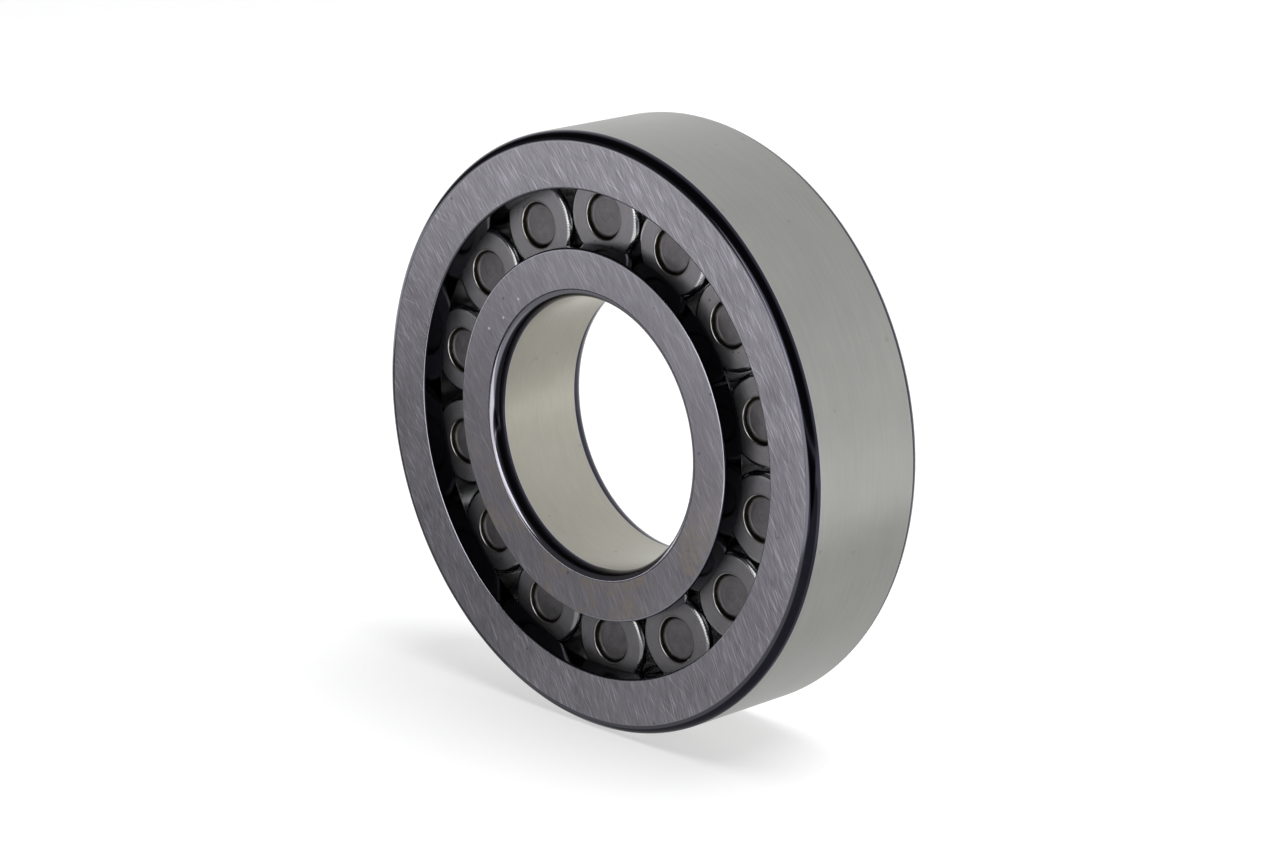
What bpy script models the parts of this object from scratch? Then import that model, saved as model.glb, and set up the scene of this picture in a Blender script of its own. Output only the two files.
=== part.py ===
"""Full-complement cylindrical roller bearing.

The bearing's axis is world Y and its centre is the world origin. Its front face, where
the inner ring has its rib, looks towards -Y. Units are metres.

Every ring and roller is turned: a profile in radius and Y is spun round the Y axis.
"""

import math

import bmesh
import bpy

# --- Driving dimensions -----------------------------------------------------------------

BORE_DIAMETER = 0.050
OUTER_RING_WIDTH = 0.027
INNER_WALL = 0.0058  # inner ring, from bore to raceway
OUTER_WALL = 0.00708  # outer ring, from raceway to outside

ROLLER_COUNT = 14
ROLLER_SPACING = 0.000517  # between neighbouring rollers, which no cage holds apart
FIRST_ROLLER_TURN = math.radians(-1.1)  # from straight up, positive towards +X

RIB_THICKNESS = 0.0044  # the integral flanges that guide the roller ends
INNER_RIB_HEIGHT = 0.0033  # above the inner raceway
OUTER_RIB_HEIGHT = 0.0033  # inside the outer raceway
BACK_RECESS = 0.0045  # the inner ring stops this far short of the back face

# Corners and small features
OUTSIDE_CORNER = 0.0019
BORE_CORNER_RADIAL = 0.0018
BORE_CORNER_AXIAL = 0.0026
RIB_EDGE = 0.0004
LEAD_IN = 0.0008  # on the ribless end of the inner raceway
RELIEF_DEPTH = 0.0003  # grinding relief where a raceway meets a rib
RELIEF_WIDTH = 0.0006
ROLLER_CORNER = 0.0010
DIMPLE_DIAMETER = 0.0086
DIMPLE_DEPTH = 0.0009
DIMPLE_DRAFT = 0.0007  # how much the dimple narrows towards its floor

# Clearances
RACEWAY_CLEARANCE = 0.00006  # radial, between a roller and each raceway
END_CLEARANCE = 0.0001  # axial, between a roller end and its rib

# Facets
RING_SEGMENTS = 96
ROLLER_SEGMENTS = 24
RING_CORNER_STEPS = 2
ROLLER_CORNER_STEPS = 1

# --- Sizes that follow ------------------------------------------------------------------

BORE_RADIUS = BORE_DIAMETER / 2
INNER_RACEWAY = BORE_RADIUS + INNER_WALL

# The rollers fill the circle: their pitch radius is INNER_RACEWAY + RACEWAY_CLEARANCE +
# ROLLER_RADIUS, and two neighbours' axes are 2 * pitch * HALF_STEP_SINE apart.
HALF_STEP_SINE = math.sin(math.pi / ROLLER_COUNT)
ROLLER_RADIUS = (
    (INNER_RACEWAY + RACEWAY_CLEARANCE) * HALF_STEP_SINE - ROLLER_SPACING / 2
) / (1 - HALF_STEP_SINE)
PITCH_RADIUS = INNER_RACEWAY + RACEWAY_CLEARANCE + ROLLER_RADIUS
OUTER_RACEWAY = PITCH_RADIUS + ROLLER_RADIUS + RACEWAY_CLEARANCE
OUTSIDE_RADIUS = OUTER_RACEWAY + OUTER_WALL

INNER_RIB_RADIUS = INNER_RACEWAY + INNER_RIB_HEIGHT
OUTER_RIB_RADIUS = OUTER_RACEWAY - OUTER_RIB_HEIGHT

FRONT = -OUTER_RING_WIDTH / 2
BACK = OUTER_RING_WIDTH / 2
INNER_BACK = BACK - BACK_RECESS
FRONT_RIB_WALL = FRONT + RIB_THICKNESS
BACK_RIB_WALL = BACK - RIB_THICKNESS
ROLLER_LENGTH = BACK_RIB_WALL - FRONT_RIB_WALL - 2 * END_CLEARANCE
ROLLER_CENTRE = (FRONT_RIB_WALL + BACK_RIB_WALL) / 2

WELD_DISTANCE = 1e-6
SHARP_ANGLE = math.radians(30)


# --- Turning ----------------------------------------------------------------------------


def rounded(radius, y, radial, axial, steps=RING_CORNER_STEPS):
    """Points round a corner at (radius, y), a quarter of an ellipse.

    radial and axial are signed: they lead from the corner into the material. The points
    start on the ring's or roller's end face and end on its cylinder.
    """
    points = []
    for step in range(steps + 1):
        turn = math.pi / 2 * step / steps
        along_radius = radial * (1 - math.sin(turn))
        along_axis = axial * (1 - math.cos(turn))
        points.append((radius + along_radius, y + along_axis))
    return points


def rib(top, face, wall, root):
    """Points over a rib's top, from the ring's face to the wall that guides the rollers.

    root is +1 where the rib stands on material at larger radii, -1 at smaller ones.
    """
    depth = math.copysign(RIB_EDGE, wall - face)
    return [
        (top + root * RIB_EDGE, face),
        (top, face + depth),
        (top, wall - depth),
        (top + root * RIB_EDGE, wall),
    ]


def relief(raceway, wall, root, along):
    """Points of the grinding relief between a rib's wall and a raceway.

    root is +1 where the ring's material lies at larger radii than the raceway, along is
    +1 where the raceway runs towards +Y from the wall.
    """
    floor = raceway + root * RELIEF_DEPTH
    end = wall + along * RELIEF_WIDTH
    return [(floor, wall), (floor, end), (raceway, end + along * RELIEF_DEPTH)]


def turned(name, profile, segments, is_ring):
    """Spin a profile of (radius, y) points round Y into a closed mesh."""
    bm = bmesh.new()
    verts = [bm.verts.new((radius, y, 0)) for radius, y in profile]
    edges = [bm.edges.new(pair) for pair in zip(verts, verts[1:])]
    if is_ring:
        edges.append(bm.edges.new((verts[-1], verts[0])))
    bmesh.ops.spin(
        bm,
        geom=verts + edges,
        cent=(0, 0, 0),
        axis=(0, 1, 0),
        angle=math.tau,
        steps=segments,
        use_merge=True,
    )
    bmesh.ops.remove_doubles(bm, verts=bm.verts, dist=WELD_DISTANCE)
    bmesh.ops.recalc_face_normals(bm, faces=bm.faces)
    mesh = bpy.data.meshes.new(name)
    bm.to_mesh(mesh)
    bm.free()
    mesh.shade_smooth()
    mesh.set_sharp_from_angle(angle=SHARP_ANGLE)
    return mesh


# --- Profiles ---------------------------------------------------------------------------


def outer_ring_profile():
    """Outer ring with a rib at each side of its raceway."""
    points = rounded(OUTSIDE_RADIUS, FRONT, -OUTSIDE_CORNER, OUTSIDE_CORNER)[::-1]
    points += rib(OUTER_RIB_RADIUS, FRONT, FRONT_RIB_WALL, 1)
    points += relief(OUTER_RACEWAY, FRONT_RIB_WALL, 1, 1)
    points += relief(OUTER_RACEWAY, BACK_RIB_WALL, 1, -1)[::-1]
    points += rib(OUTER_RIB_RADIUS, BACK, BACK_RIB_WALL, 1)[::-1]
    points += rounded(OUTSIDE_RADIUS, BACK, -OUTSIDE_CORNER, -OUTSIDE_CORNER)
    return points


def inner_ring_profile():
    """Inner ring with one rib, at its front."""
    points = rounded(BORE_RADIUS, FRONT, BORE_CORNER_RADIAL, BORE_CORNER_AXIAL)[::-1]
    points += rib(INNER_RIB_RADIUS, FRONT, FRONT_RIB_WALL, -1)
    points += relief(INNER_RACEWAY, FRONT_RIB_WALL, -1, 1)
    points += [
        (INNER_RACEWAY, INNER_BACK - LEAD_IN),
        (INNER_RACEWAY - LEAD_IN, INNER_BACK),
    ]
    points += rounded(BORE_RADIUS, INNER_BACK, BORE_CORNER_RADIAL, -BORE_CORNER_AXIAL)
    return points


def roller_profile():
    """Roller with rounded corners and a shallow dimple in each end, centred on Y = 0."""
    half = ROLLER_LENGTH / 2
    dimple = DIMPLE_DIAMETER / 2
    front_end = [
        (0, -half + DIMPLE_DEPTH),
        (dimple - DIMPLE_DRAFT, -half + DIMPLE_DEPTH),
        (dimple, -half),
    ]
    front_end += rounded(
        ROLLER_RADIUS, -half, -ROLLER_CORNER, ROLLER_CORNER, ROLLER_CORNER_STEPS
    )
    return front_end + [(radius, -y) for radius, y in reversed(front_end)]


# --- Materials and objects --------------------------------------------------------------


def steel(name, colour, roughness):
    """A bearing steel finish."""
    material = bpy.data.materials.new(name)
    material.use_nodes = True
    shader = material.node_tree.nodes["Principled BSDF"]
    shader.inputs["Base Color"].default_value = (*colour, 1)
    shader.inputs["Roughness"].default_value = roughness
    shader.inputs["Metallic"].default_value = 1
    return material


def place(name, mesh, location=(0, 0, 0), parent=None):
    """Link an object into the scene at its location."""
    thing = bpy.data.objects.new(name, mesh)
    thing.location = location
    thing.parent = parent
    bpy.context.scene.collection.objects.link(thing)
    return thing


def build_rings():
    """The outer ring, and the inner ring whose origin lies on the axis it turns about."""
    outer = turned("outer_ring", outer_ring_profile(), RING_SEGMENTS, True)
    outer.materials.append(steel("outer_ring_steel", (0.42, 0.41, 0.43), 0.32))
    place("outer_ring", outer)
    inner = turned("inner_ring", inner_ring_profile(), RING_SEGMENTS, True)
    inner.materials.append(steel("inner_ring_steel", (0.40, 0.39, 0.42), 0.32))
    place("inner_ring", inner)


def build_rollers():
    """The rollers, each with its origin on its own axis, under the empty they orbit."""
    orbit = place("roller_orbit", None)
    mesh = turned("roller", roller_profile(), ROLLER_SEGMENTS, False)
    mesh.materials.append(steel("roller_steel", (0.45, 0.45, 0.46), 0.25))
    for index in range(ROLLER_COUNT):
        turn = FIRST_ROLLER_TURN + math.tau * index / ROLLER_COUNT
        centre = (
            PITCH_RADIUS * math.sin(turn),
            ROLLER_CENTRE,
            PITCH_RADIUS * math.cos(turn),
        )
        place(f"roller_{index + 1:02d}", mesh, centre, orbit)


def main():
    for thing in list(bpy.data.objects):
        bpy.data.objects.remove(thing, do_unlink=True)
    build_rings()
    build_rollers()


main()
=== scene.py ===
"""Looks of the full-complement cylindrical roller bearing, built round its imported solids.

The bearing's axis is world Y and its middle is the origin. The face where the inner ring
has its rib looks towards -Y. Every length is in metres, every angle in radians.
"""

import logging
import math
from collections.abc import Callable, Iterable, Mapping, Sequence
from dataclasses import dataclass
from enum import Enum
from functools import partial
from typing import Any

import bpy
from mathutils import Matrix, Vector


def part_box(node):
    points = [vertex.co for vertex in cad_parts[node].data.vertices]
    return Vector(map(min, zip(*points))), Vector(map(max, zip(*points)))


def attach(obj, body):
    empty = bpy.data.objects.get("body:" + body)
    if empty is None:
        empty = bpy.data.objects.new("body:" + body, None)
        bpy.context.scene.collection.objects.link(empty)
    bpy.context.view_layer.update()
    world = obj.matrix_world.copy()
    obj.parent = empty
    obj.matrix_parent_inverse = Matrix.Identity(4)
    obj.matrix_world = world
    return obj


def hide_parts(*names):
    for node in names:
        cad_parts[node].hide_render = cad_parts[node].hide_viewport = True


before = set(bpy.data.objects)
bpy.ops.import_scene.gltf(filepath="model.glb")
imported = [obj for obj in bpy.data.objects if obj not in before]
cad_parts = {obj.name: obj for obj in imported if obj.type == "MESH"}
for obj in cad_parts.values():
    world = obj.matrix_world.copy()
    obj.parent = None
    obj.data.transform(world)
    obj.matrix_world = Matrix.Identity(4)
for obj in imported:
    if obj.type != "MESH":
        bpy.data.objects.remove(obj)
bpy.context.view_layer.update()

log = logging.getLogger("bearing")

Colour = tuple[float, float, float]
Point = tuple[float, float, float]
Step = tuple[float, float]  # where a smooth step begins and where it ends

TINY = 1e-6
NEAR = 10 * TINY
WELD = 2e-6
SHARP = math.radians(30)
ORIGIN: Point = (0.0, 0.0, 0.0)
AXIS: Point = (0.0, 1.0, 0.0)
NOISE_MIDDLE = 0.5

DARK_RIB: Colour = (0.035, 0.035, 0.045)
# The next two are a painted highlight: the colour and width of a light strip along ring edges.
EDGE_HIGHLIGHT: Colour = (0.50, 0.49, 0.56)
RIB_HIGHLIGHT_WIDTH = 0.00026
WALL_STEEL: Colour = (0.30, 0.30, 0.31)
RACEWAY_STEEL: Colour = (0.50, 0.50, 0.50)

# Centres of the circles that the grinding lines on the ring faces follow
MAIN_SWEEP: Point = (-0.290, 0.0, -0.200)
CROSS_SWEEP: Point = (-0.300, 0.0, -0.050)
STRAY_SWEEP: Point = (-0.100, 0.0, -0.250)


# --- Patterns ---------------------------------------------------------------------------

# In each pattern, tone and rough say how far it moves the colour's brightness and the
# roughness, and height how far it moves the surface.


@dataclass(frozen=True)
class Arcs:
    """Fine lines along circles about a centre, as a wheel or a turning tool leaves them.

    Fineness is in lines across one metre, and breaks says how often a line changes along
    one radian. Detail and roughness are the octaves of its noise and how strong they are.
    """

    fineness: float
    breaks: float
    centre: Point = ORIGIN
    detail: float = 3.0
    roughness: float = 0.6
    tone: float = 0.0
    rough: float = 0.0
    height: float = 1.0


@dataclass(frozen=True)
class Cloud:
    """Soft patches of a surface: their frequency, octaves and how strong the finer are."""

    scale: float
    detail: float = 3.0
    roughness: float = 0.55
    tone: float = 0.0
    rough: float = 0.0


@dataclass(frozen=True)
class Specks:
    """Sparse round pits or dust: how close their cells lie, and a speck's size in cells.

    Strength says how much of its colour a speck shows.
    """

    scale: float
    size: float
    strength: float
    colour: Colour
    rough: float = 0.0
    height: float = 1.0


# --- Shader arithmetic ------------------------------------------------------------------


class Signal:
    """A shader socket that takes part in arithmetic: an expression adds Math nodes."""

    def __init__(self, sheet: "Sheet", socket: bpy.types.NodeSocket) -> None:
        """Keep the socket and the sheet that new nodes go on.

        Args:
            sheet: The node tree that the socket belongs to.
            socket: An output socket.
        """
        self.sheet = sheet
        self.socket = socket

    def maths(self, operation: str, *operands: "Signal | float") -> "Signal":
        """Add one Math node.

        Args:
            operation: The Math node's operation.
            *operands: Its inputs, in order.

        Returns:
            The node's result.
        """
        return self.sheet.node(
            "ShaderNodeMath", {"operation": operation}, dict(enumerate(operands))
        )

    def __add__(self, other: "Signal | float") -> "Signal":
        """Sum of this and another value."""
        return self.maths("ADD", self, other)

    def __radd__(self, other: float) -> "Signal":
        """Sum of a number and this."""
        return self.maths("ADD", other, self)

    def __sub__(self, other: "Signal | float") -> "Signal":
        """This less another value."""
        return self.maths("SUBTRACT", self, other)

    def __rsub__(self, other: float) -> "Signal":
        """A number less this."""
        return self.maths("SUBTRACT", other, self)

    def __mul__(self, other: "Signal | float") -> "Signal":
        """Product of this and another value."""
        return self.maths("MULTIPLY", self, other)

    def __rmul__(self, other: float) -> "Signal":
        """Product of a number and this."""
        return self.maths("MULTIPLY", other, self)

    def __abs__(self) -> "Signal":
        """Size of this, without its sign."""
        return self.maths("ABSOLUTE", self)

    def at_most(self, ceiling: float) -> "Signal":
        """The smaller of this and a ceiling."""
        return self.maths("MINIMUM", self, ceiling)

    def swing(self, amount: float) -> "Signal":
        """Noise that swings about 0 instead of its own middle, times an amount."""
        return (self - NOISE_MIDDLE) * amount

    def other(self, output: str) -> "Signal":
        """Another output of the node that this one comes from."""
        return Signal(self.sheet, self.socket.node.outputs[output])


class Sheet:
    """A node tree that finishes are drawn on."""

    BARE_CELLS = 0.55  # the share of cells that hold no speck
    SOFT_RIM = 0.35  # how much of a speck's radius its soft rim takes

    def __init__(self, tree: bpy.types.NodeTree) -> None:
        """Keep the tree.

        Args:
            tree: The node tree of a material or a world.
        """
        self.tree = tree

    def node(
        self,
        kind: str,
        settings: Mapping[str, Any] | None = None,
        sockets: Mapping[int | str, Any] | None = None,
        output: int | str = 0,
    ) -> Signal:
        """Add a node of any type.

        Args:
            kind: The node's type.
            settings: Its properties, set before its sockets.
            sockets: Values or links by input name or number.
            output: The output that is returned.

        Returns:
            The chosen output.
        """
        made = self.tree.nodes.new(kind)
        for name, value in (settings or {}).items():
            setattr(made, name, value)
        for key, value in (sockets or {}).items():
            self.feed(made.inputs[key], value)
        return Signal(self, made.outputs[output])

    def feed(self, socket: bpy.types.NodeSocket, value: Any) -> None:
        """Link a signal to a socket, or set the socket's own value.

        Args:
            socket: An input socket.
            value: A signal, a number, a colour or a vector.
        """
        if isinstance(value, Signal):
            self.tree.links.new(value.socket, socket)
        elif isinstance(value, tuple) and socket.type == "RGBA":
            socket.default_value = (*value, 1.0)
        else:
            socket.default_value = value

    def vector(self, x: Signal | float, y: Signal | float, z: Signal | float) -> Signal:
        """Vector of three values."""
        return self.node("ShaderNodeCombineXYZ", None, {0: x, 1: y, 2: z})

    def split(self, vector: Signal) -> tuple[Signal, Signal, Signal]:
        """The three values of a vector."""
        x = self.node("ShaderNodeSeparateXYZ", None, {0: vector})
        return x, x.other("Y"), x.other("Z")

    def vector_maths(
        self, operation: str, *operands: Signal | Point, output: str = "Vector"
    ) -> Signal:
        """Add one Vector Math node.

        Args:
            operation: The node's operation.
            *operands: Its vectors, in order.
            output: "Vector", or "Value" for a length or a product that is a number.

        Returns:
            The node's result.
        """
        return self.node(
            "ShaderNodeVectorMath",
            {"operation": operation},
            dict(enumerate(operands)),
            output,
        )

    def fade(
        self, value: Signal, start: float, end: float, low: float = 0.0, high: float = 1.0
    ) -> Signal:
        """Smooth step between two levels.

        Args:
            value: What is followed.
            start: Where the step begins.
            end: Where it ends.
            low: The level before the step.
            high: The level after it.

        Returns:
            The stepped value.
        """
        return self.node(
            "ShaderNodeMapRange",
            {"interpolation_type": "SMOOTHSTEP"},
            {"Value": value, "From Min": start, "From Max": end, "To Min": low, "To Max": high},
        )

    def noise(self, where: Signal, scale: float, detail: float, roughness: float) -> Signal:
        """Noise value.

        Args:
            where: The vector it is read at.
            scale: Its frequency.
            detail: Its octaves.
            roughness: How strong the finer octaves are.

        Returns:
            A value about NOISE_MIDDLE.
        """
        return self.node(
            "ShaderNodeTexNoise",
            None,
            {"Vector": where, "Scale": scale, "Detail": detail, "Roughness": roughness},
            "Fac",
        )

    def cloud(self, where: Signal, cloud: Cloud) -> Signal:
        """Cloudy value about NOISE_MIDDLE."""
        return self.noise(where, cloud.scale, cloud.detail, cloud.roughness)

    def specks(self, where: Signal, specks: Specks) -> Signal:
        """Round specks of mixed sizes.

        Args:
            where: The vector they are placed on.
            specks: How close and how large they are.

        Returns:
            1 in a speck, 0 elsewhere.
        """
        cells = self.node(
            "ShaderNodeTexVoronoi", None, {"Vector": where, "Scale": specks.scale}
        )
        chance, _, _ = self.split(cells.other("Color"))
        reach = self.fade(chance, self.BARE_CELLS, 1.0, 0.0, specks.size)
        return self.fade(reach - cells, 0.0, self.SOFT_RIM * specks.size)

    def strew(self, colour: Signal, mask: Signal, specks: Specks) -> Signal:
        """Colour with the specks' own colour where their mask is."""
        return self.blend(mask * specks.strength, colour, specks.colour)

    def blend(
        self, mask: Signal | float, first: Signal | Colour, second: Signal | Colour
    ) -> Signal:
        """Colour that goes from the first to the second as the mask goes from 0 to 1."""
        return self.node(
            "ShaderNodeMix",
            {"data_type": "RGBA"},
            {"Factor": mask, 6: first, 7: second},
            2,
        )

    def shade(self, colour: Signal | Colour, factor: Signal) -> Signal:
        """Colour made darker or lighter by a factor."""
        grey = self.vector(factor, factor, factor)
        return self.node(
            "ShaderNodeMix",
            {"data_type": "RGBA", "blend_type": "MULTIPLY"},
            {"Factor": 1.0, 6: colour, 7: grey},
            2,
        )


class SteelSheet(Sheet):
    """The node tree of one steel finish."""

    def __init__(self, name: str) -> None:
        """Start a bare metal material.

        Args:
            name: The material's name.
        """
        self.material = bpy.data.materials.new(name)
        self.material.use_nodes = True
        super().__init__(self.material.node_tree)
        self.shader = self.tree.nodes["Principled BSDF"]
        self.shader.inputs["Metallic"].default_value = 1.0
        self.place = self.node("ShaderNodeTexCoord", output="Object")

    def attribute(self, name: str) -> Signal:
        """Vector that a piece's mesh carries under this name."""
        return self.node("ShaderNodeAttribute", {"attribute_name": name}, output="Vector")

    def from_axis(self, where: Signal) -> Signal:
        """Distance from the Y axis."""
        x, _, z = self.split(where)
        return self.vector_maths("LENGTH", self.vector(x, 0.0, z), output="Value")

    def lines(self, where: Signal, arcs: Arcs) -> Signal:
        """Fine lines along circles, in planes across the bearing's axis.

        Args:
            where: The surface coordinates, in metres.
            arcs: The circles and the lines on them.

        Returns:
            A value about NOISE_MIDDLE.
        """
        x, y, z = self.split(self.vector_maths("SUBTRACT", where, arcs.centre))
        flat = self.vector(x, 0.0, z)
        radius = self.vector_maths("LENGTH", flat, output="Value")
        along_x, _, along_z = self.split(self.vector_maths("NORMALIZE", flat))
        course = self.vector(
            along_x * arcs.breaks,
            radius * arcs.fineness + y * arcs.fineness,
            along_z * arcs.breaks,
        )
        return self.noise(course, 1.0, arcs.detail, arcs.roughness)

    def finish(
        self, colour: Signal, roughness: Signal, height: Signal, depth: float
    ) -> bpy.types.Material:
        """Wire the shader.

        Args:
            colour: The base colour.
            roughness: The roughness.
            height: The surface's height, from 0 to 1.
            depth: What a height of 1 stands for, in metres.

        Returns:
            The material.
        """
        bump = self.node(
            "ShaderNodeBump", None, {"Strength": 1.0, "Distance": depth, "Height": height}
        )
        self.feed(self.shader.inputs["Base Color"], colour)
        self.feed(self.shader.inputs["Roughness"], roughness)
        self.feed(self.shader.inputs["Normal"], bump)
        return self.material


# --- Finishes ---------------------------------------------------------------------------


@dataclass(frozen=True)
class GroundFace:
    """A face ground flat: crossing arcs of fine scratches, tiny pits and bright dust.

    It may have a mottled stain on its lower part and a few bright punch marks.
    """

    name: str
    colour: Colour = (0.395, 0.380, 0.425)
    contrast: float = 1.5
    roughness: float = 0.38
    depth: float = 0.000006
    fine: Arcs = Arcs(9000.0, 150.0, MAIN_SWEEP, tone=0.40)
    broad: Arcs = Arcs(4800.0, 110.0, MAIN_SWEEP, detail=2.0, tone=0.75, rough=0.16)
    cross: Arcs = Arcs(3900.0, 90.0, CROSS_SWEEP, detail=2.0, tone=0.50)
    scores: Arcs = Arcs(3600.0, 75.0, MAIN_SWEEP, detail=0.0, tone=0.36)
    score_step: Step = (0.60, 0.74)
    nicks: Arcs = Arcs(4200.0, 40.0, STRAY_SWEEP, detail=0.0, tone=0.34)
    nick_step: Step = (0.72, 0.82)
    cloud: Cloud = Cloud(75.0, tone=0.35, rough=0.12)
    pits: Specks = Specks(360.0, 0.13, 0.45, (0.06, 0.055, 0.06), rough=0.2)
    dust: Specks = Specks(95.0, 0.04, 0.8, (0.80, 0.80, 0.84))
    stain: float = 0.0
    stain_colour: Colour = (0.54, 0.45, 0.34)
    stain_step: Step = (0.004, -0.030)
    spread: Cloud = Cloud(130.0, roughness=0.6)
    spread_step: Step = (0.42, 0.64)
    mottle: Cloud = Cloud(900.0, roughness=0.6)
    mottle_step: Step = (0.36, 0.56)
    marks: tuple[Point, ...] = ()
    mark_step: Step = (0.00036, 0.000144)
    mark_depth: float = 2.0
    mark_colour: Colour = (0.90, 0.90, 0.92)

    def stained(self, sheet: SteelSheet, colour: Signal) -> Signal:
        """Lay the stain, which deepens downwards.

        Args:
            sheet: The sheet that is drawn on.
            colour: The colour under the stain.

        Returns:
            The stained colour.
        """
        _, _, height = sheet.split(sheet.place)
        low = sheet.fade(height, *self.stain_step)
        spread = sheet.fade(sheet.cloud(sheet.place, self.spread), *self.spread_step)
        mottle = sheet.fade(sheet.cloud(sheet.place, self.mottle), *self.mottle_step)
        return sheet.blend(low * spread * mottle * self.stain, colour, self.stain_colour)

    def material(self) -> bpy.types.Material:
        """Draw the finish.

        Returns:
            The material.
        """
        sheet = SteelSheet(self.name)
        place = sheet.place
        fine, broad, cross = (
            sheet.lines(place, arcs) for arcs in (self.fine, self.broad, self.cross)
        )
        scores = sheet.fade(sheet.lines(place, self.scores), *self.score_step)
        nicks = sheet.fade(sheet.lines(place, self.nicks), *self.nick_step)
        cloud = sheet.cloud(place, self.cloud)
        pits = sheet.specks(place, self.pits)
        dust = sheet.specks(place, self.dust)

        lines = fine.swing(self.fine.tone) + broad.swing(self.broad.tone)
        lines = lines + cross.swing(self.cross.tone)
        scored = scores * self.scores.tone + nicks * self.nicks.tone
        tone = 1.0 + (lines + scored) * self.contrast + cloud.swing(self.cloud.tone)
        colour = sheet.shade(self.colour, tone)
        if self.stain:
            colour = self.stained(sheet, colour)
        colour = sheet.strew(colour, pits, self.pits)
        colour = sheet.strew(colour, dust, self.dust)
        height = lines + scored - pits
        for mark in self.marks:
            off = sheet.vector_maths("DISTANCE", place, mark, output="Value")
            struck = sheet.fade(off, *self.mark_step)
            colour = sheet.blend(struck, colour, self.mark_colour)
            height = height - struck * self.mark_depth
        rough = self.roughness + cloud.swing(self.cloud.rough)
        rough = rough + broad.swing(self.broad.rough) + pits * self.pits.rough
        return sheet.finish(colour, rough, height, self.depth)


@dataclass(frozen=True)
class GroundRound:
    """A cylinder ground satin: faint rings of fine lines and a cloudy bloom."""

    name: str
    colour: Colour
    roughness: float = 0.34
    bloom: float = 0.22
    line_depth: float = 0.000002
    fine: Arcs = Arcs(9000.0, 6.0, detail=4.0, tone=0.16, rough=0.08)
    broad: Arcs = Arcs(1500.0, 5.0, detail=2.0, tone=0.16, height=0.6)
    cloud: Cloud = Cloud(90.0, detail=4.0, roughness=0.6, rough=0.14)
    patch: Cloud = Cloud(22.0, detail=2.0, roughness=0.5)
    pits: Specks = Specks(260.0, 0.16, 0.15, (0.08, 0.075, 0.06), height=0.3)

    def material(self) -> bpy.types.Material:
        """Draw the finish.

        Returns:
            The material.
        """
        sheet = SteelSheet(self.name)
        place = sheet.place
        fine = sheet.lines(place, self.fine)
        broad = sheet.lines(place, self.broad)
        cloud = sheet.cloud(place, self.cloud)
        patch = sheet.cloud(place, self.patch)
        pits = sheet.specks(place, self.pits)
        tone = 1.0 + fine.swing(self.fine.tone) + broad.swing(self.broad.tone)
        tone = tone + cloud.swing(self.bloom) + patch.swing(self.bloom)
        colour = sheet.strew(sheet.shade(self.colour, tone), pits, self.pits)
        rough = self.roughness + cloud.swing(self.cloud.rough) + fine.swing(self.fine.rough)
        height = fine.swing(self.fine.height) + broad.swing(self.broad.height)
        return sheet.finish(colour, rough, height - pits * self.pits.height, self.line_depth)


@dataclass(frozen=True)
class PolishedTurning:
    """A corner or rib turned before hardening and then tumbled smooth.

    It has faint turned rings, a soft cloud, tiny rubs, lighter lines where it meets a ground
    surface, which are partly wear and partly painted highlight, and a lighter strip along one
    edge where a radius for it is given, which is a painted highlight.
    """

    name: str
    colour: Colour = (0.036, 0.035, 0.050)
    roughness: float = 0.12
    depth: float = 0.0000012
    rings: Arcs = Arcs(5200.0, 4.0, roughness=0.55, tone=0.45)
    cloud: Cloud = Cloud(160.0, tone=0.40, rough=0.08)
    rubs: Cloud = Cloud(900.0, detail=2.0, roughness=0.5, tone=0.03)
    rub_step: Step = (0.64, 0.78)
    # Lines at the edges: partly wear, partly painted highlight.
    wear_and_highlight_planes: tuple[float, ...] = ()
    wear_and_highlight_radii: tuple[float, ...] = ()
    wear_and_highlight_colour: Colour = (0.42, 0.40, 0.43)
    wear_and_highlight_rough: float = 0.12
    wear_and_highlight_waver: float = 0.00010
    wear_and_highlight_step: Step = (0.00014, 0.00003)
    # A lighter strip at one radius: a painted highlight.
    highlight_colour: Colour = (0.16, 0.16, 0.19)
    highlight_radius: float = 0.0
    highlight_width: float = 0.0008
    highlight_core: float = 0.8

    def material(self) -> bpy.types.Material:
        """Draw the finish.

        Returns:
            The material.
        """
        sheet = SteelSheet(self.name)
        place = sheet.place
        rings = sheet.lines(place, self.rings)
        cloud = sheet.cloud(place, self.cloud)
        rubs = sheet.fade(sheet.cloud(place, self.rubs), *self.rub_step)
        tone = 1.0 + rings.swing(self.rings.tone) + cloud.swing(self.cloud.tone)
        colour = sheet.shade(self.colour, tone)
        _, along, _ = sheet.split(place)
        radius = sheet.from_axis(place)
        # Painted highlight: a lighter strip all round at one radius.
        if self.highlight_radius:
            off = abs(radius - self.highlight_radius)
            painted_highlight = sheet.fade(off, self.highlight_width, self.highlight_width * self.highlight_core)
            colour = sheet.blend(painted_highlight, colour, self.highlight_colour)
        # Rubs are wear; the lines at the edges are partly wear and partly painted highlight.
        wear_and_highlight = rubs * self.rubs.tone
        edges = [(along, plane) for plane in self.wear_and_highlight_planes]
        edges += [(radius, edge) for edge in self.wear_and_highlight_radii]
        for measure, edge in edges:
            off = abs(measure - edge) + cloud.swing(self.wear_and_highlight_waver)
            wear_and_highlight = wear_and_highlight + sheet.fade(off, *self.wear_and_highlight_step)
        wear_and_highlight = wear_and_highlight.at_most(1.0)
        colour = sheet.blend(wear_and_highlight, colour, self.wear_and_highlight_colour)
        rough = self.roughness + cloud.swing(self.cloud.rough) + wear_and_highlight * self.wear_and_highlight_rough
        return sheet.finish(colour, rough, rings, self.depth)


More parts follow.
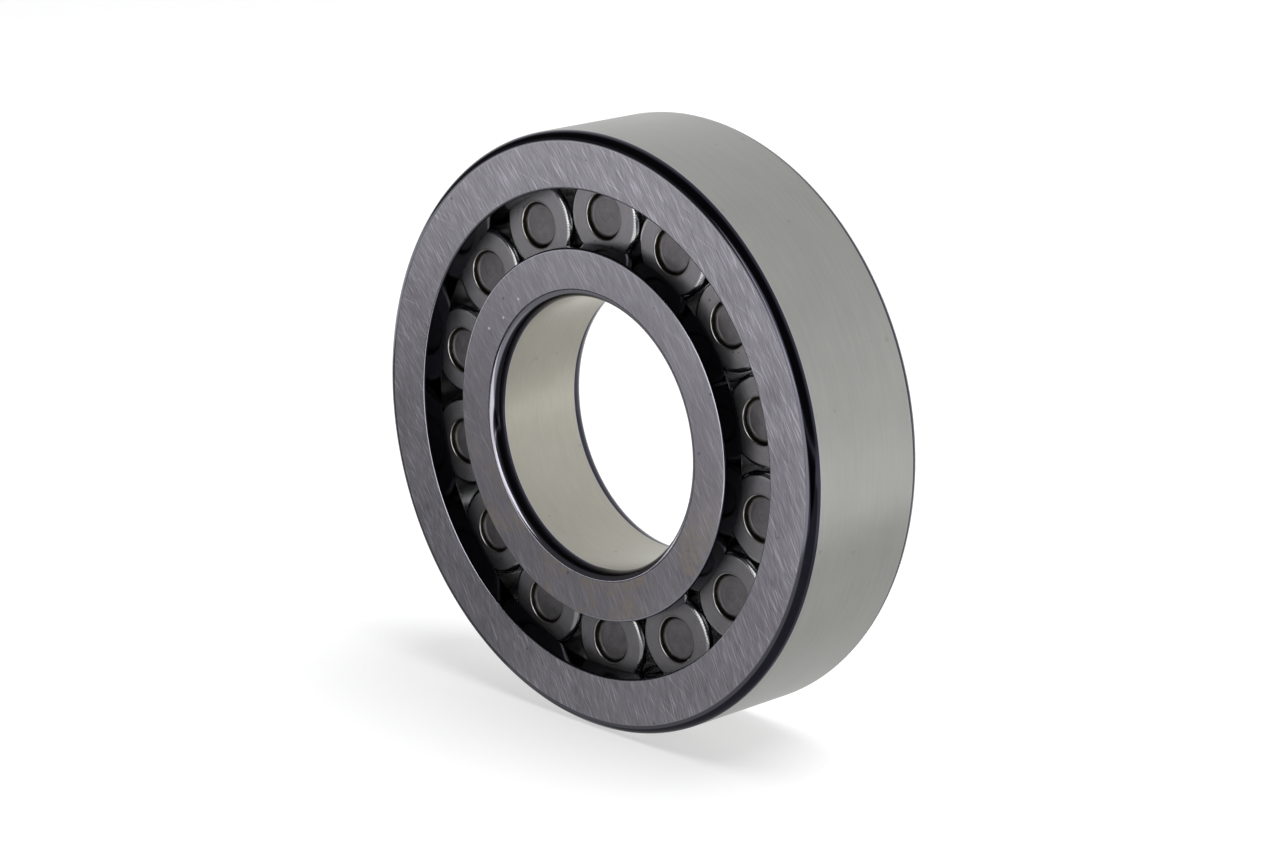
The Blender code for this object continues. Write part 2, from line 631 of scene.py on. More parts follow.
@dataclass(frozen=True)
class RollerEnd:
    """A roller's end, ground on a wheel: crossing arcs and a dark ring round its dimple, partly
    olive oxide and partly painted shade.
    """

    name: str
    colour: Colour = (0.322, 0.311, 0.330)
    roughness: float = 0.40
    depth: float = 0.000005
    arcs: Arcs = Arcs(7000.0, 14.0, (0.020, 0.0, 0.012), detail=4.0, tone=0.5, rough=0.12)
    rings: Arcs = Arcs(5200.0, 2.0, tone=0.35, height=0.6)
    cloud: Cloud = Cloud(210.0, tone=0.4, rough=0.14)
    pits: Specks = Specks(700.0, 0.24, 0.5, (0.04, 0.036, 0.03))
    # Dark ring round the dimple: partly olive oxide, partly painted shade at the recess's edge.
    halo_oxide_and_shade_colour: Colour = (0.11, 0.095, 0.065)
    halo_step: Step = (0.0049, 0.0042)
    halo_strength: float = 0.5

    def material(self) -> bpy.types.Material:
        """Draw the finish.

        Returns:
            The material.
        """
        sheet = SteelSheet(self.name)
        own = sheet.attribute(RollerSet.OWN_PLACE)
        arcs = sheet.lines(own, self.arcs)
        rings = sheet.lines(own, self.rings)
        cloud = sheet.cloud(sheet.place, self.cloud)
        pits = sheet.specks(sheet.place, self.pits)
        # Partly olive oxide, partly painted shade: a dark ring round the dimple's edge.
        oxide_and_shade_ring = sheet.fade(sheet.from_axis(own), *self.halo_step)
        tone = 1.0 + arcs.swing(self.arcs.tone) + rings.swing(self.rings.tone)
        colour = sheet.shade(self.colour, tone + cloud.swing(self.cloud.tone))
        colour = sheet.blend(oxide_and_shade_ring * self.halo_strength, colour, self.halo_oxide_and_shade_colour)
        colour = sheet.strew(colour, pits, self.pits)
        rough = self.roughness + cloud.swing(self.cloud.rough) + arcs.swing(self.arcs.rough)
        height = arcs + rings * self.rings.height - pits
        return sheet.finish(colour, rough, height, self.depth)


@dataclass(frozen=True)
class TurnedDimple:
    """The unground dimple in a roller's end: dull turned rings and a dark olive-brown ring near
    its edge, partly oxide and partly painted shade.
    """

    name: str
    colour: Colour = (0.250, 0.238, 0.248)
    roughness: float = 0.50
    depth: float = 0.000010
    rings: Arcs = Arcs(3600.0, 1.2, detail=2.0, roughness=0.5, tone=0.7)
    cloud: Cloud = Cloud(520.0, tone=0.6, rough=0.16)
    oxide_and_shade_rim: float = 0.0040
    # Dark olive-brown ring: partly oxide, partly painted shade along the recess's edge.
    rim_oxide_and_shade_colour: Colour = (0.030, 0.024, 0.012)
    rim_waver: float = 0.00034
    rim_step: Step = (0.00034, 0.000102)

    def material(self) -> bpy.types.Material:
        """Draw the finish.

        Returns:
            The material.
        """
        sheet = SteelSheet(self.name)
        own = sheet.attribute(RollerSet.OWN_PLACE)
        rings = sheet.lines(own, self.rings)
        cloud = sheet.cloud(sheet.place, self.cloud)
        # Partly oxide, partly painted shade: a dark ring near the dimple's edge.
        off = abs(sheet.from_axis(own) - self.oxide_and_shade_rim) + cloud.swing(self.rim_waver)
        oxide_and_shade_rim = sheet.fade(off, *self.rim_step)
        tone = 1.0 + rings.swing(self.rings.tone) + cloud.swing(self.cloud.tone)
        colour = sheet.blend(oxide_and_shade_rim, sheet.shade(self.colour, tone), self.rim_oxide_and_shade_colour)
        rough = self.roughness + cloud.swing(self.cloud.rough)
        return sheet.finish(colour, rough, rings, self.depth)


# --- Modelling in edit mode -------------------------------------------------------------


class Bench:
    """Modelling by operators on one mesh object at a time."""

    LARGEST_FACES = 100  # a corner's shading follows its largest faces

    def __init__(self, piece: bpy.types.Object) -> None:
        """Take a piece onto the bench, on its own.

        Args:
            piece: The mesh object that is worked on.
        """
        self.piece = piece
        self.alone()

    def alone(self) -> None:
        """Select this piece and nothing else."""
        for other in bpy.context.selected_objects:
            other.select_set(False)
        bpy.context.view_layer.objects.active = self.piece
        self.piece.select_set(True)

    def settle(self) -> None:
        """Bring the object's place, turn and scale into its mesh."""
        bpy.ops.object.transform_apply(location=True, rotation=True, scale=True)

    def pick(self, kind: str, chosen: Callable[[Any], bool]) -> int:
        """Select elements by a rule, and nothing else.

        Args:
            kind: "VERT", "EDGE" or "FACE".
            chosen: The rule, given a vertex, an edge or a polygon of the mesh.

        Returns:
            How many were selected.
        """
        bpy.ops.object.mode_set(mode="EDIT")
        bpy.ops.mesh.select_mode(type=kind)
        bpy.ops.mesh.select_all(action="DESELECT")
        bpy.ops.object.mode_set(mode="OBJECT")
        mesh = self.piece.data
        elements = {"VERT": mesh.vertices, "EDGE": mesh.edges, "FACE": mesh.polygons}[kind]
        found = [e for e in elements if chosen(e)]
        for element in found:
            element.select = True
        bpy.ops.object.mode_set(mode="EDIT")
        return len(found)

    def pick_all(self) -> None:
        """Select the whole mesh in edit mode."""
        bpy.ops.object.mode_set(mode="EDIT")
        bpy.ops.mesh.select_all(action="SELECT")

    def cut(self, where: Point, across: Point) -> None:
        """Cut the whole mesh by a plane and keep both sides.

        Args:
            where: A point on the plane.
            across: The plane's normal.
        """
        self.pick_all()
        bpy.ops.mesh.bisect(plane_co=where, plane_no=across, threshold=TINY / 10)

    def round_corners(
        self, corners: Iterable[tuple[float, float]], size: float, steps: int
    ) -> None:
        """Round corners of a flat cross-section.

        Args:
            corners: Their (radius, y) places.
            size: How far the rounding reaches from each corner.
            steps: The facets of each rounding.
        """
        spots = [Vector((radius, y, 0.0)) for radius, y in corners]
        found = self.pick(
            "VERT", lambda v: any((v.co - spot).length < NEAR for spot in spots)
        )
        if found != len(spots):
            raise ValueError(f"{self.piece.name}: {found} corners of {len(spots)} found")
        bpy.ops.mesh.bevel(offset=size, segments=steps, affect="VERTICES")

    def done(self) -> None:
        """Leave edit mode."""
        bpy.ops.object.mode_set(mode="OBJECT")

    def heal(self) -> None:
        """Merge doubles and turn every face outwards."""
        self.pick_all()
        bpy.ops.mesh.remove_doubles(threshold=WELD)
        bpy.ops.mesh.normals_make_consistent(inside=False)
        self.done()

    def polish(self) -> None:
        """Shade the roundings smooth and keep the flats flat."""
        self.done()
        bpy.ops.object.shade_smooth_by_angle(angle=SHARP)
        bpy.ops.object.modifier_add(type="WEIGHTED_NORMAL")
        modifier = self.piece.modifiers[-1]
        modifier.keep_sharp = True
        modifier.weight = self.LARGEST_FACES
        bpy.ops.object.modifier_apply(modifier=modifier.name)

    def dress(
        self,
        finishes: Mapping[Enum, bpy.types.Material],
        zone_of: Callable[[bpy.types.MeshPolygon], Enum],
    ) -> None:
        """Give each face the finish of its zone.

        Args:
            finishes: The material of each zone, in slot order.
            zone_of: The rule that names a face's zone.
        """
        slots = {}
        self.piece.data.materials.clear()
        for number, (zone, material) in enumerate(finishes.items()):
            self.piece.data.materials.append(material)
            slots[zone] = number
        for polygon in self.piece.data.polygons:
            polygon.material_index = slots[zone_of(polygon)]


def radius_of(place: Vector) -> float:
    """Distance of a place from the bearing's axis."""
    return math.hypot(place.x, place.z)


# --- Rings ------------------------------------------------------------------------------


class RingZone(Enum):
    """The differently finished surfaces of a ring."""

    FACE = "face"
    ROUND = "round"
    CORNER = "corner"
    RIB = "rib"
    WALL = "wall"
    RACEWAY = "raceway"


FLAT_ACROSS = 0.999  # a normal's Y on a face that stands square to the axis
ROUND_ALONG = 0.01  # and on a cylinder round the axis


@dataclass
class TurnedRing:
    """A ring turned from a cross-section that is cut from a plain rectangle.

    The fit is the ground cylinder that seats on the shaft or in the housing, the raceway
    is the one that the rollers run on, and ribs stand over the raceway.
    """

    name: str
    fit: float
    raceway: float
    rib_top: float
    front: float
    back: float
    front_wall: float
    back_wall: float | None
    steps: int = 256
    edge: float = 0.0004
    relief_depth: float = 0.0003
    relief_width: float = 0.0006
    rounding_steps: int = 8

    @property
    def outward(self) -> float:
        """1 where the ring's material lies outside its raceway, -1 where inside."""
        return math.copysign(1.0, self.fit - self.raceway)

    def pockets(self) -> list[tuple[float, float, float, float]]:
        """Rectangles cut from the section, each as its radii and its ends along Y.

        Returns:
            (lowest radius, highest radius, lowest y, highest y) of each.
        """
        far = self.back_wall if self.back_wall is not None else self.back
        over = sorted((self.rib_top, self.raceway))
        floor = self.raceway + self.outward * self.relief_depth
        under = sorted((self.raceway, floor))
        cuts = [(*over, self.front_wall, far)]
        cuts.append((*under, self.front_wall, self.front_wall + self.relief_width))
        if self.back_wall is not None:
            cuts.append((*under, self.back_wall - self.relief_width, self.back_wall))
        return cuts

    def section(self) -> Bench:
        """Cut the cross-section, a flat shape in the half-plane of positive X.

        Returns:
            The bench with the section on it.
        """
        bpy.ops.mesh.primitive_plane_add(
            size=1.0,
            location=((self.fit + self.rib_top) / 2, (self.front + self.back) / 2, 0.0),
        )
        piece = bpy.context.object
        piece.name = piece.data.name = self.name
        piece.scale = (abs(self.fit - self.rib_top), self.back - self.front, 1.0)
        bench = Bench(piece)
        bench.settle()
        pockets = self.pockets()
        for inner, outer, low, high in pockets:
            for radius in (inner, outer):
                bench.cut((radius, 0.0, 0.0), (1.0, 0.0, 0.0))
            for y in (low, high):
                bench.cut((0.0, y, 0.0), (0.0, 1.0, 0.0))
        bench.pick(
            "FACE",
            lambda f: any(
                low_r < f.center.x < high_r and low < f.center.y < high
                for low_r, high_r, low, high in pockets
            ),
        )
        bpy.ops.mesh.delete(type="FACE")
        bench.pick_all()
        bpy.ops.mesh.dissolve_faces()
        bench.pick_all()
        bpy.ops.mesh.dissolve_limited(angle_limit=math.radians(1))
        bench.done()
        self.round_section(bench)
        return bench

    def round_section(self, bench: Bench) -> None:
        """Round the section's corners.

        Args:
            bench: The bench with the section on it.
        """
        raise NotImplementedError

    def zone(self, polygon: bpy.types.MeshPolygon) -> RingZone:
        """Name the zone that a face belongs to.

        Args:
            polygon: A face of the turned ring.

        Returns:
            Its zone.
        """
        across = abs(polygon.normal.y)
        radius, y = radius_of(polygon.center), polygon.center.y
        if across > FLAT_ACROSS:
            at_face = min(abs(y - self.front), abs(y - self.back)) < NEAR
            return RingZone.FACE if at_face else RingZone.WALL
        if across < ROUND_ALONG:
            spans = {
                RingZone.ROUND: self.fit,
                RingZone.RACEWAY: self.raceway,
                RingZone.RIB: self.rib_top,
            }
            zone = min(spans, key=lambda z: abs(spans[z] - radius))
            depth = (radius - self.raceway) * self.outward
            relieved = zone is RingZone.RACEWAY and depth > self.relief_depth / 2
            return RingZone.WALL if relieved else zone
        near_fit = abs(radius - self.fit) < abs(radius - self.rib_top)
        return RingZone.CORNER if near_fit else RingZone.RIB

    def build(self, finishes: Mapping[RingZone, bpy.types.Material]) -> bpy.types.Object:
        """Turn the ring from its section and dress it.

        Args:
            finishes: The material of each zone.

        Returns:
            The finished ring.
        """
        bench = self.section()
        bench.pick_all()
        bpy.ops.mesh.delete(type="ONLY_FACE")
        bench.pick_all()
        bpy.ops.mesh.spin(
            steps=self.steps, angle=math.tau, center=(0.0, 0.0, 0.0), axis=AXIS
        )
        bench.heal()
        bench.dress(finishes, self.zone)
        bench.polish()
        return bench.piece


@dataclass
class OuterRing(TurnedRing):
    """The outer ring, with a rib at each side of its raceway."""

    corner: float = 0.0019

    def round_section(self, bench: Bench) -> None:
        """Round the outside corners and the edges of both ribs.

        Args:
            bench: The bench with the section on it.
        """
        ends = (self.front, self.back)
        bench.round_corners([(self.fit, y) for y in ends], self.corner, self.rounding_steps)
        walls = (self.front_wall, self.back_wall)
        bench.round_corners(
            [(self.rib_top, y) for y in (*ends, *walls)], self.edge, self.rounding_steps // 2
        )
        bench.done()


@dataclass
class InnerRing(TurnedRing):
    """The inner ring, with one rib, at its front."""

    corner_radial: float = 0.0018
    corner_axial: float = 0.0026
    lead_in: float = 0.0008

    def round_section(self, bench: Bench) -> None:
        """Round the bore's corners, the rib's edges and the end of the raceway.

        The bore's corners reach further along the bore than up the face, so the section
        is squeezed along its axis while they are rounded.

        Args:
            bench: The bench with the section on it.
        """
        squeeze = self.corner_radial / self.corner_axial
        bench.pick_all()
        bpy.ops.transform.resize(value=(1.0, squeeze, 1.0), center_override=(0.0, 0.0, 0.0))
        bench.done()
        ends = (self.front * squeeze, self.back * squeeze)
        bench.round_corners(
            [(self.fit, y) for y in ends], self.corner_radial, self.rounding_steps
        )
        bench.pick_all()
        bpy.ops.transform.resize(
            value=(1.0, 1.0 / squeeze, 1.0), center_override=(0.0, 0.0, 0.0)
        )
        bench.done()
        bench.round_corners([(self.raceway, self.back)], self.lead_in, 1)
        bench.round_corners(
            [(self.rib_top, y) for y in (self.front, self.front_wall)],
            self.edge,
            self.rounding_steps // 2,
        )
        bench.done()


# --- Rollers ----------------------------------------------------------------------------


class RollerZone(Enum):
    """The differently finished surfaces of a roller."""

    END = "end"
    ROLLING = "rolling"
    CORNER = "corner"
    DIMPLE = "dimple"


@dataclass
class RollerSet:
    """The full set of rollers, modelled once and copied round the pitch circle."""

    OWN_PLACE = "own_place"  # the attribute with each roller's own coordinates
    END_ACROSS = 0.97  # a normal's Y on the ground end and on the first of its rounding
    LIP_SHARE = 0.0001  # how much of the lip's rounding has the end's finish

    radius: float
    length: float
    centres: list[Vector]
    sides: int = 96
    corner: float = 0.0010
    dimple: float = 0.0043
    dimple_depth: float = 0.0009
    dimple_draft: float = 0.0007
    lip: float = 0.00015
    floor_edge: float = 0.00016

    def blank(self) -> Bench:
        """Shape one roller at the origin from a plain cylinder.

        Returns:
            The bench with the roller on it.
        """
        bpy.ops.mesh.primitive_cylinder_add(
            vertices=self.sides, radius=self.radius, depth=self.length
        )
        piece = bpy.context.object
        piece.rotation_euler = (math.pi / 2, 0.0, 0.0)
        bench = Bench(piece)
        bench.settle()
        for side in (-1.0, 1.0):
            end = side * self.length / 2
            bench.pick("FACE", partial(self.is_end, end))
            bpy.ops.mesh.inset(thickness=self.radius - self.dimple)
            bpy.ops.mesh.inset(thickness=self.dimple_draft)
            bpy.ops.transform.translate(value=(0.0, -side * self.dimple_depth, 0.0))
            bench.done()
        end = self.length / 2
        floor = end - self.dimple_depth
        self.round_edges(bench, self.radius, end, self.corner, 6)
        self.round_edges(bench, self.dimple, end, self.lip, 3)
        self.round_edges(bench, self.dimple - self.dimple_draft, floor, self.floor_edge, 2)
        bench.heal()
        return bench

    @staticmethod
    def is_end(end: float, face: bpy.types.MeshPolygon) -> bool:
        """Whether a face is the blank's disc at this end."""
        return abs(face.center.y - end) < TINY and len(face.vertices) > 4

    @staticmethod
    def round_edges(bench: Bench, radius: float, y: float, size: float, steps: int) -> None:
        """Round the two circular edges of a roller that lie at a radius.

        Args:
            bench: The bench with the roller on it.
            radius: The edges' radius.
            y: How far along the axis they lie, to both sides.
            size: How far the rounding reaches.
            steps: Its facets.
        """
        verts = bench.piece.data.vertices
        reach = 2 * NEAR

        def on_circle(edge: bpy.types.MeshEdge) -> bool:
            """Whether both ends of an edge lie on one of the circles."""
            ends = [verts[k].co for k in edge.vertices]
            return all(
                abs(radius_of(end) - radius) < reach and abs(abs(end.y) - y) < reach
                for end in ends
            )

        bench.pick("EDGE", on_circle)
        bpy.ops.mesh.bevel(offset=size, segments=steps, affect="EDGES")
        bench.done()

    def zone(self, mesh: bpy.types.Mesh, polygon: bpy.types.MeshPolygon) -> RollerZone:
        """Name the zone that a face belongs to.

        Args:
            mesh: The roller's mesh, at the origin.
            polygon: One of its faces.

        Returns:
            The face's zone.
        """
        corners = [mesh.vertices[spot].co for spot in polygon.vertices]
        middle = sum(corners, Vector(ORIGIN)) / len(corners)
        if len(corners) > 4 or radius_of(middle) < self.dimple - self.LIP_SHARE:
            return RollerZone.DIMPLE
        across = abs(polygon.normal.y)
        if across > self.END_ACROSS:
            return RollerZone.END
        return RollerZone.ROLLING if across < ROUND_ALONG else RollerZone.CORNER

    def build(
        self, names: Sequence[str], finishes: Mapping[RollerZone, bpy.types.Material]
    ) -> list[bpy.types.Object]:
        """Model one roller, dress it, and copy it to every place.

        Args:
            names: The rollers' names.
            finishes: The material of each zone.

        Returns:
            The rollers, in the order of their centres.
        """
        bench = self.blank()
        mesh = bench.piece.data
        bench.dress(finishes, partial(self.zone, mesh))
        bench.polish()
        own = mesh.attributes.new(self.OWN_PLACE, "FLOAT_VECTOR", "POINT")
        places = [value for vertex in mesh.vertices for value in vertex.co]
        own.data.foreach_set("vector", places)
        copies = []
        for name, centre in zip(names, self.centres):
            copy = bpy.data.objects.new(name, mesh.copy())
            copy.data.name = name
            bpy.context.scene.collection.objects.link(copy)
            copy.location = centre
            Bench(copy).settle()
            copies.append(copy)
        bpy.data.objects.remove(bench.piece)
        bpy.data.meshes.remove(mesh)
        return copies


# --- Studio -----------------------------------------------------------------------------


@dataclass(frozen=True)
class Card:
    """A flat card on the floor that shows in reflections only; its glow takes the place of the
    floor's light there, and a card dimmer than the floor is painted shade.
    """

    name: str
    left: float
    right: float
    near: float
    far: float
    glow: float
    lift: float = 0.001


@dataclass(frozen=True)
class Panel:
    """A soft panel lamp that faces the bearing."""

    name: str
    place: Point
    size: tuple[float, float]
    watts: float
    mirrored: bool = True


@dataclass
class Studio:
    """Pale floor, soft light and the camera."""

    ground: float
    aim: Vector
    azimuth: float = math.radians(45.69)
    elevation: float = math.radians(15.54)
    distance: float = 0.66875
    beside: float = 0.00915
    above: float = 0.00221
    lens: float = 105.2
    sensor: float = 36.0
    floor_size: float = 12.0
    floor_colour: Colour = (0.55, 0.55, 0.55)
    floor_glow: float = 0.55
    card_colour: Colour = (0.01, 0.01, 0.012)
    air_colour: Colour = (0.98, 0.99, 1.0)
    front_level: float = 0.05
    horizon_level: float = 0.97
    overhead_level: float = 0.80
    behind_step: Step = (-0.10, 0.45)
    sky_step: Step = (0.10, 0.95)
    # The two cards at the foot are dimmer than the floor: painted shade where the floor meets
    # the bearing. The two black cards to the left are a painted shadow of the bearing on the
    # floor. The black one to the right is painted shade too, and the one behind gives its own
    # glow in place of the floor's light; all of them show in reflections only.
    cards: tuple[Card, ...] = (
        Card("shade_card_at_the_foot", -0.03, 0.30, -0.12, -0.004, 0.33),
        Card("shade_card_by_the_foot", -0.30, -0.03, -0.12, -0.004, 0.21),
        Card("card_to_the_right", 0.10, 1.00, -1.00, -0.12, 0.0),
        Card("shadow_card_to_the_left", -0.30, -0.06, -0.20, -0.12, 0.0),
        Card("shadow_card_further_left", -0.45, -0.18, -0.26, -0.20, 0.0),
        Card("card_behind", -0.05, 0.12, -0.003, 0.10, 0.75),
    )
    panels: tuple[Panel, ...] = (
        Panel("overhead_panel", (0.48, 0.08, 1.52), (1.2, 1.2), 24.0, mirrored=False),
        Panel("front_panel", (-0.03, -0.98, 0.20), (0.45, 0.50), 1.1),
    )

    def floor(self) -> bpy.types.Object:
        """Lay the floor.

        Returns:
            The floor.
        """
        bpy.ops.mesh.primitive_plane_add(
            size=self.floor_size, location=(0.0, 0.0, self.ground)
        )
        floor = bpy.context.object
        floor.name = "floor"
        Bench(floor).settle()
        material = self.glowing("pale_floor", self.floor_colour, self.floor_glow, 0.1)
        floor.data.materials.append(material)
        return floor

    @staticmethod
    def glowing(
        name: str, colour: Colour, glow: float, specular: float = 0.5
    ) -> bpy.types.Material:
        """Make a dull material that also gives off white light.

        Args:
            name: Its name.
            colour: Its base colour.
            glow: The strength of its light.
            specular: The shader's specular level.

        Returns:
            The material.
        """
        material = bpy.data.materials.new(name)
        material.use_nodes = True
        inputs = material.node_tree.nodes["Principled BSDF"].inputs
        inputs["Base Color"].default_value = (*colour, 1.0)
        inputs["Roughness"].default_value = 0.9
        inputs["Emission Color"].default_value = (1.0, 1.0, 1.0, 1.0)
        inputs["Emission Strength"].default_value = glow
        inputs["Specular IOR Level"].default_value = specular
        return material

    def lay(self, card: Card) -> bpy.types.Object:
        """Lay a card on the floor, which only reflections see; a dim card paints shade into
        them.

        Args:
            card: Its name, place and brightness.

        Returns:
            The card.
        """
        bpy.ops.mesh.primitive_plane_add(
            size=1.0,
            location=(
                (card.left + card.right) / 2,
                (card.near + card.far) / 2,
                self.ground + card.lift,
            ),
        )
        sheet = bpy.context.object
        sheet.name = card.name
        sheet.scale = (card.right - card.left, card.far - card.near, 1.0)
        Bench(sheet).settle()
        sheet.data.materials.append(self.glowing(card.name, self.card_colour, card.glow))
        sheet.visible_camera = False
        sheet.visible_shadow = False
        sheet.visible_diffuse = False
        return sheet

    def surroundings(self) -> None:
        """Light the scene from behind, brightest near the horizon; the front stays dark."""
        world = bpy.data.worlds.new("studio")
        world.use_nodes = True
        bpy.context.scene.world = world
        sheet = Sheet(world.node_tree)
        heading = sheet.node("ShaderNodeTexCoord", output="Generated")
        _, back, up = sheet.split(heading)
        behind = sheet.fade(back, *self.behind_step)
        sky = sheet.fade(up, *self.sky_step, self.horizon_level, self.overhead_level)
        shader = world.node_tree.nodes["Background"]
        sheet.feed(shader.inputs["Color"], self.air_colour)
        sheet.feed(shader.inputs["Strength"], self.front_level + behind * sky)

    def hang(self, panel: Panel) -> None:
        """Hang one soft panel that faces the bearing and stays out of the picture.

        Args:
            panel: Its name, place, size and power.
        """
        light = bpy.data.lights.new(panel.name, "AREA")
        light.shape = "RECTANGLE"
        light.size, light.size_y = panel.size
        light.energy = panel.watts
        lamp = bpy.data.objects.new(panel.name, light)
        bpy.context.scene.collection.objects.link(lamp)
        lamp.location = panel.place
        lamp.rotation_euler = Vector(panel.place).to_track_quat("Z", "Y").to_euler()
        lamp.visible_camera = False
        lamp.visible_glossy = panel.mirrored

    def camera(self) -> None:
        """Set up the camera and make it the scene's."""
        turn, tilt = self.azimuth, self.elevation
        towards = Vector(
            (math.sin(turn) * math.cos(tilt), -math.cos(turn) * math.cos(tilt), math.sin(tilt))
        )
        right = Vector((math.cos(turn), math.sin(turn), 0.0))
        up = towards.cross(right)
        place = self.aim + towards * self.distance + right * self.beside + up * self.above
        data = bpy.data.cameras.new("camera")
        data.lens = self.lens
        data.sensor_width = self.sensor
        data.sensor_fit = "HORIZONTAL"
        data.clip_start, data.clip_end = 0.01, 50.0
        camera = bpy.data.objects.new("camera", data)
        bpy.context.scene.collection.objects.link(camera)
        columns = Matrix((right, up, towards)).transposed()
        camera.matrix_world = Matrix.Translation(place) @ columns.to_4x4()
        bpy.context.scene.camera = camera

    def build(self) -> None:
        """Set up the whole studio."""
        self.floor()
        self.surroundings()
        for card in self.cards:
            self.lay(card)
        for panel in self.panels:
            self.hang(panel)
        self.camera()
        bpy.context.scene.view_settings.view_transform = "Standard"


# --- The bearing ------------------------------------------------------------------------


@dataclass(frozen=True)
class Measures:
    """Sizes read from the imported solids."""

    outside: float
    front: float
    back: float
    inner_back: float
    bore: float
    outer_rib: float
    inner_rib: float
    outer_raceway: float
    inner_raceway: float
    roller_radius: float
    roller_length: float
    roller_centres: list[Vector]
    raceway_clearance: float = 0.00006
    end_clearance: float = 0.0001

    @classmethod
    def read(cls, rollers: Sequence[str]) -> "Measures":
        """Read the sizes.

        Args:
            rollers: The rollers' CAD nodes.

        Returns:
            The sizes.
        """
        outer_low, outer_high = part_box("outer_ring")
        inner_low, inner_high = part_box("inner_ring")
        boxes = [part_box(name) for name in rollers]
        centres = [(low + high) / 2 for low, high in boxes]
        low, high = boxes[0]
        radius = (high.z - low.z) / 2
        pitch = radius_of(centres[0])
        radii = {
            name: [radius_of(v.co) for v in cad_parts[name].data.vertices]
            for name in ("outer_ring", "inner_ring")
        }
        gap = cls.raceway_clearance
        return cls(
            outside=max(radii["outer_ring"]),
            front=outer_low.y,
            back=outer_high.y,
            inner_back=inner_high.y,
            bore=min(radii["inner_ring"]),
            outer_rib=min(radii["outer_ring"]),
            inner_rib=max(radii["inner_ring"]),
            outer_raceway=pitch + radius + gap,
            inner_raceway=pitch - radius - gap,
            roller_radius=radius,
            roller_length=high.y - low.y,
            roller_centres=centres,
        )


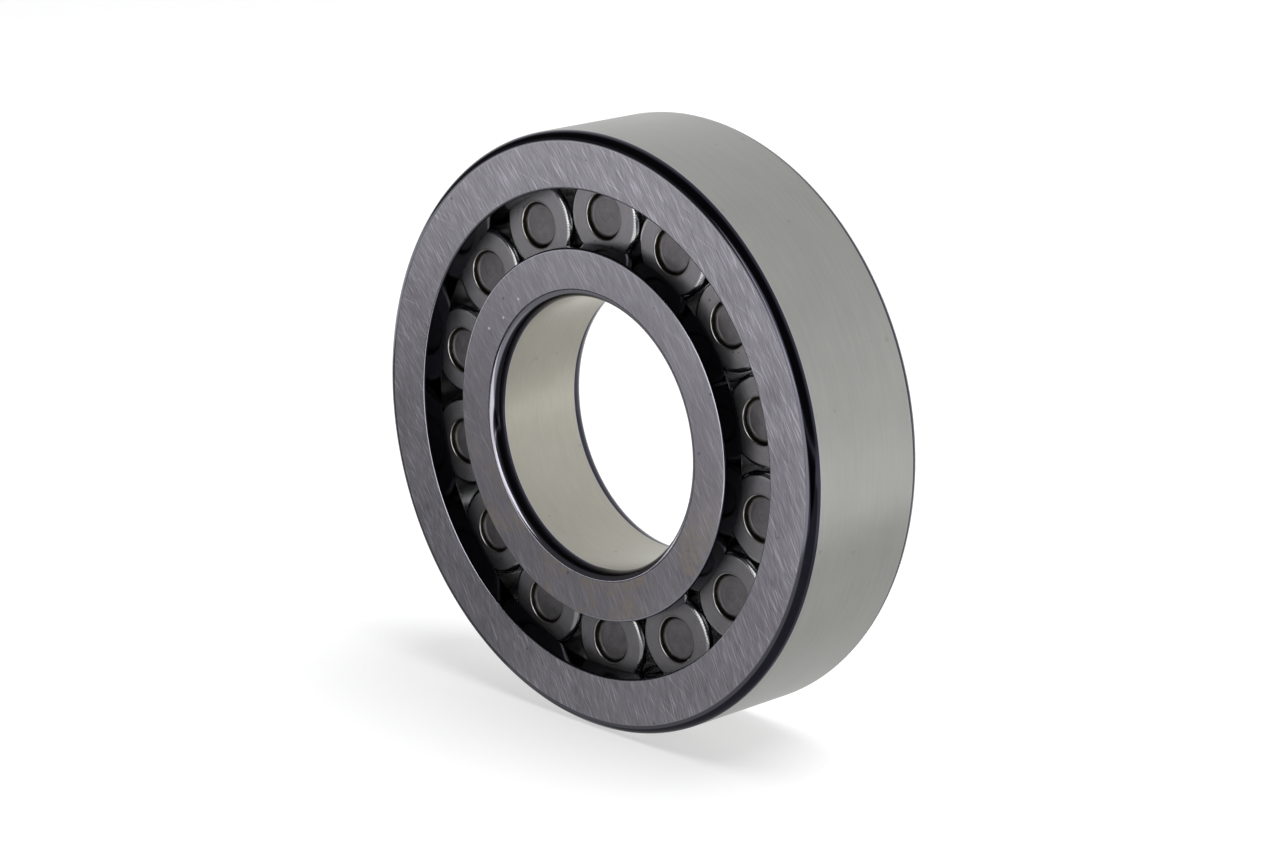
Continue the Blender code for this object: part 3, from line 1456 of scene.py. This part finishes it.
class Bearing:
    """The whole bearing: two rings and the rollers between them."""

    def __init__(self) -> None:
        """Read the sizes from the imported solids."""
        self.rollers = sorted(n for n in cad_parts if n.startswith("roller_"))
        self.sizes = Measures.read(self.rollers)
        half = self.sizes.roller_length / 2 + self.sizes.end_clearance
        middle = self.sizes.roller_centres[0].y
        self.front_wall, self.back_wall = middle - half, middle + half

    def outer_ring(self) -> bpy.types.Object:
        """Build the outer ring.

        Returns:
            The ring.
        """
        sizes = self.sizes
        ring = OuterRing(
            name="ribbed_outer_ring",
            fit=sizes.outside,
            raceway=sizes.outer_raceway,
            rib_top=sizes.outer_rib,
            front=sizes.front,
            back=sizes.back,
            front_wall=self.front_wall,
            back_wall=self.back_wall,
        )
        # The corner's lines at both edges are partly wear and partly painted highlight; its
        # grey-blue strip next to the face is a painted reflection.
        corner = PolishedTurning(
            "outer_corner_tumbled",
            wear_and_highlight_radii=(sizes.outside - ring.corner,),
            highlight_radius=sizes.outside - ring.corner,
            wear_and_highlight_planes=(sizes.front + ring.corner, sizes.back - ring.corner),
        )
        # The rib's light strip along its edge is a painted highlight.
        ribs = PolishedTurning(
            "outer_rib_turned",
            colour=DARK_RIB,
            highlight_colour=EDGE_HIGHLIGHT,
            highlight_radius=sizes.outer_rib + ring.edge,
            highlight_width=RIB_HIGHLIGHT_WIDTH,
        )
        finishes = {
            RingZone.FACE: GroundFace("outer_face_ground").material(),
            RingZone.ROUND: GroundRound("outside_satin", (0.34, 0.34, 0.32)).material(),
            RingZone.CORNER: corner.material(),
            RingZone.RIB: ribs.material(),
        }
        return ring.build(finishes | self.track_finishes("rib_wall", "outer_raceway"))

    @staticmethod
    def track_finishes(wall: str, raceway: str) -> dict[RingZone, bpy.types.Material]:
        """Draw the finishes of a ring's rib walls and raceway.

        Args:
            wall: The name of the walls' finish.
            raceway: The name of the raceway's finish.

        Returns:
            The material of each zone.
        """
        polished = GroundRound(raceway, RACEWAY_STEEL, roughness=0.18, bloom=0.10)
        return {
            RingZone.WALL: GroundRound(wall, WALL_STEEL).material(),
            RingZone.RACEWAY: polished.material(),
        }

    def punch_marks(self) -> tuple[Point, ...]:
        """Places of the three punch marks on the inner ring's front face.

        Returns:
            The places.
        """
        spots = ((-0.01836, 0.02205), (-0.02245, 0.01791), (-0.02636, 0.0152))
        return tuple((x, self.sizes.front, z) for x, z in spots)

    def inner_ring(self) -> bpy.types.Object:
        """Build the inner ring.

        Returns:
            The ring.
        """
        sizes = self.sizes
        ring = InnerRing(
            name="ribbed_inner_ring",
            fit=sizes.bore,
            raceway=sizes.inner_raceway,
            rib_top=sizes.inner_rib,
            front=sizes.front,
            back=sizes.inner_back,
            front_wall=self.front_wall,
            back_wall=None,
        )
        # The bore corner's light strip next to the face is a painted highlight; its lines at
        # both edges are partly wear and partly painted highlight.
        corner = PolishedTurning(
            "bore_corner_tumbled",
            wear_and_highlight_radii=(sizes.bore + ring.corner_radial,),
            highlight_colour=EDGE_HIGHLIGHT,
            highlight_radius=sizes.bore + ring.corner_radial,
            highlight_width=0.0012,
            wear_and_highlight_planes=(
                sizes.front + ring.corner_axial,
                sizes.inner_back - ring.corner_axial,
            ),
        )
        # The rib's light strip along its edge is a painted highlight.
        ribs = PolishedTurning(
            "inner_rib_turned",
            colour=DARK_RIB,
            highlight_colour=EDGE_HIGHLIGHT,
            highlight_radius=sizes.inner_rib - ring.edge,
            highlight_width=RIB_HIGHLIGHT_WIDTH,
        )
        finishes = {
            RingZone.FACE: GroundFace(
                "inner_face_ground", contrast=0.9, stain=0.85, marks=self.punch_marks()
            ).material(),
            RingZone.ROUND: GroundRound("bore_satin", (0.40, 0.385, 0.33)).material(),
            RingZone.CORNER: corner.material(),
            RingZone.RIB: ribs.material(),
        }
        return ring.build(finishes | self.track_finishes("inner_rib_wall", "inner_raceway"))

    def roller_set(self) -> list[bpy.types.Object]:
        """Build the rollers.

        Returns:
            The rollers, in the order of their CAD nodes.
        """
        sizes = self.sizes
        rollers = RollerSet(sizes.roller_radius, sizes.roller_length, sizes.roller_centres)
        finishes = {
            RollerZone.END: RollerEnd("roller_end_ground").material(),
            RollerZone.ROLLING: GroundRound(
                "roller_polished", (0.52, 0.52, 0.53), roughness=0.16, bloom=0.10
            ).material(),
            RollerZone.CORNER: GroundRound(
                "roller_corner",
                (0.55, 0.55, 0.56),
                roughness=0.16,
                bloom=0.04,
                line_depth=0.0000001,
            ).material(),
            RollerZone.DIMPLE: TurnedDimple("roller_dimple_turned").material(),
        }
        return rollers.build([f"finished_{name}" for name in self.rollers], finishes)

    def build(self) -> None:
        """Build every piece and put it on its body."""
        self.fit(self.outer_ring(), "outer_ring", "outer_ring")
        self.fit(self.inner_ring(), "inner_ring", "inner_ring")
        for piece, node in zip(self.roller_set(), self.rollers):
            self.fit(piece, node, "rollers")

    @staticmethod
    def fit(piece: bpy.types.Object, node: str, slot: str) -> None:
        """Put a piece in its CAD node's place.

        Args:
            piece: The finished piece.
            node: The CAD node, whose body has the same name.
            slot: Not used.
        """
        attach(piece, node)
        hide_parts(node)
        faces = len(piece.data.polygons)
        log.info("%s rides on %s: %d faces", piece.name, node, faces)


def main() -> None:
    """Build the bearing and its studio."""
    logging.basicConfig(level=logging.INFO, format="%(message)s")
    bearing = Bearing()
    bearing.build()
    sizes = bearing.sizes
    Studio(ground=-sizes.outside, aim=Vector((0.0, sizes.front, 0.0))).build()


if __name__ == "__main__":
    main()
